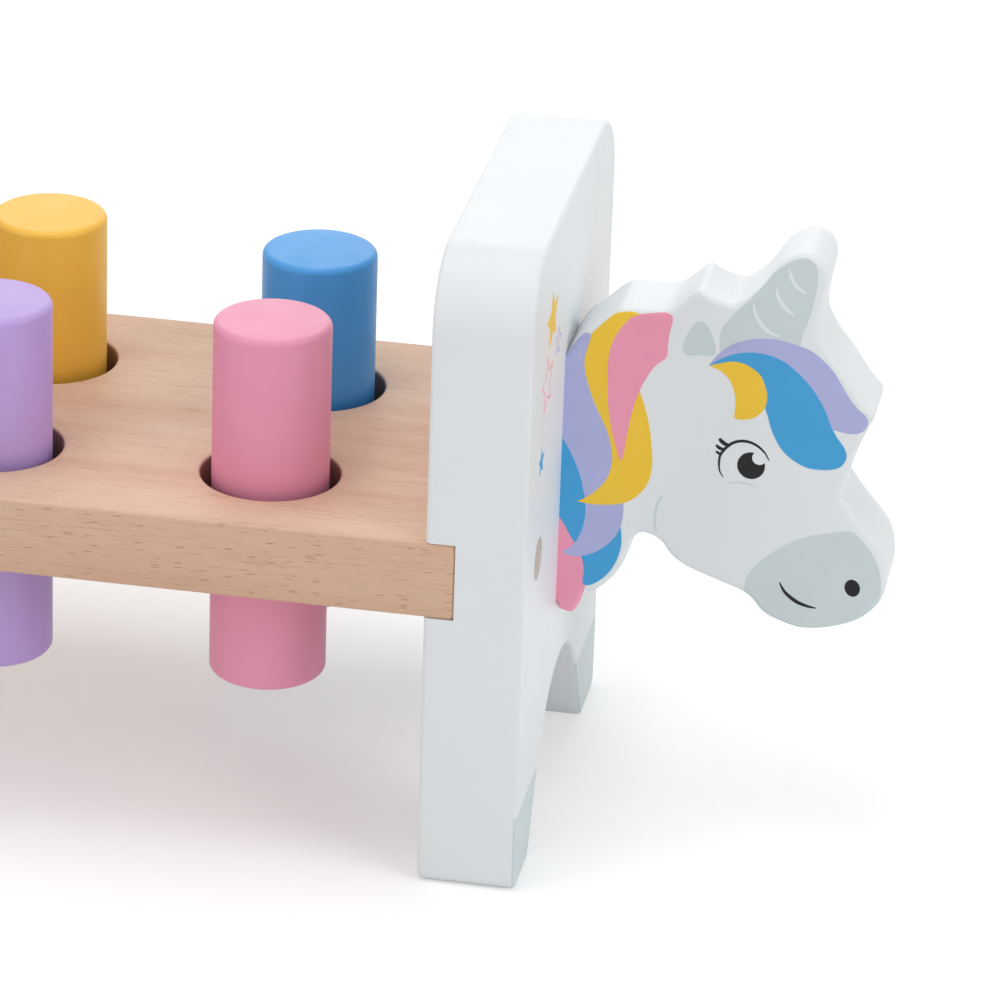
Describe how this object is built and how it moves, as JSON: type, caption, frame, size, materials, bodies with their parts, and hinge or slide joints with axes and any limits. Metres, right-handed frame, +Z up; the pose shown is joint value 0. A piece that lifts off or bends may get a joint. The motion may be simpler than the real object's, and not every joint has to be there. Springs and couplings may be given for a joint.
{
  "type": "peg pounding bench",
  "caption": "Wooden toy bench: a plank of friction-held pegs housed between arched end panels, with a flat unicorn head; pegs are hammered through and the bench is turned over.",
  "frame": {"origin": "middle of the bounding box, head included, at the floor under the feet", "axes": "+X along the plank towards the unicorn head, +Y towards the animal's left side, +Z up"},
  "size_m": [0.326, 0.091, 0.124],
  "materials": {
    "beech": "clear satin lacquer",
    "white_lacquer": "white semi-gloss lacquer with printed colours",
    "dowel_wood": "bare sanded beech",
    "pink_paint": "satin paint",
    "blue_paint": "satin paint",
    "purple_paint": "satin paint",
    "yellow_paint": "satin paint",
    "black_rubber": "matte"
  },
  "bodies": {
    "bench": {"bench_plank": "beech", "head_end_panel": "white_lacquer", "tail_end_panel": "white_lacquer", "unicorn_head": "white_lacquer", "head_dowels": "dowel_wood", "head_panel_dowels": "dowel_wood", "tail_panel_dowels": "dowel_wood", "grip_ring_right_1": "black_rubber", "grip_ring_right_2": "black_rubber", "grip_ring_right_3": "black_rubber", "grip_ring_right_4": "black_rubber", "grip_ring_left_1": "black_rubber", "grip_ring_left_2": "black_rubber", "grip_ring_left_3": "black_rubber", "grip_ring_left_4": "black_rubber"},
    "peg_right_1": {"peg_right_1": "pink_paint"},
    "peg_right_2": {"peg_right_2": "purple_paint"},
    "peg_right_3": {"peg_right_3": "blue_paint"},
    "peg_right_4": {"peg_right_4": "yellow_paint"},
    "peg_left_1": {"peg_left_1": "blue_paint"},
    "peg_left_2": {"peg_left_2": "yellow_paint"},
    "peg_left_3": {"peg_left_3": "pink_paint"},
    "peg_left_4": {"peg_left_4": "purple_paint"}
  },
  "joints": [
    {"name": "peg_right_1_slide", "type": "slide", "parent": "bench", "child": "peg_right_1", "axis": [0, 0, 1], "range_m": [-0.0281, 0.0229]},
    {"name": "peg_right_2_slide", "type": "slide", "parent": "bench", "child": "peg_right_2", "axis": [0, 0, 1], "range_m": [-0.0266, 0.0244]},
    {"name": "peg_right_3_slide", "type": "slide", "parent": "bench", "child": "peg_right_3", "axis": [0, 0, 1], "range_m": [-0.0275, 0.0235]},
    {"name": "peg_right_4_slide", "type": "slide", "parent": "bench", "child": "peg_right_4", "axis": [0, 0, 1], "range_m": [-0.0263, 0.0247]},
    {"name": "peg_left_1_slide", "type": "slide", "parent": "bench", "child": "peg_left_1", "axis": [0, 0, 1], "range_m": [-0.0254, 0.0256]},
    {"name": "peg_left_2_slide", "type": "slide", "parent": "bench", "child": "peg_left_2", "axis": [0, 0, 1], "range_m": [-0.0275, 0.0235]},
    {"name": "peg_left_3_slide", "type": "slide", "parent": "bench", "child": "peg_left_3", "axis": [0, 0, 1], "range_m": [-0.0266, 0.0244]},
    {"name": "peg_left_4_slide", "type": "slide", "parent": "bench", "child": "peg_left_4", "axis": [0, 0, 1], "range_m": [-0.0281, 0.0229]}
  ]
}
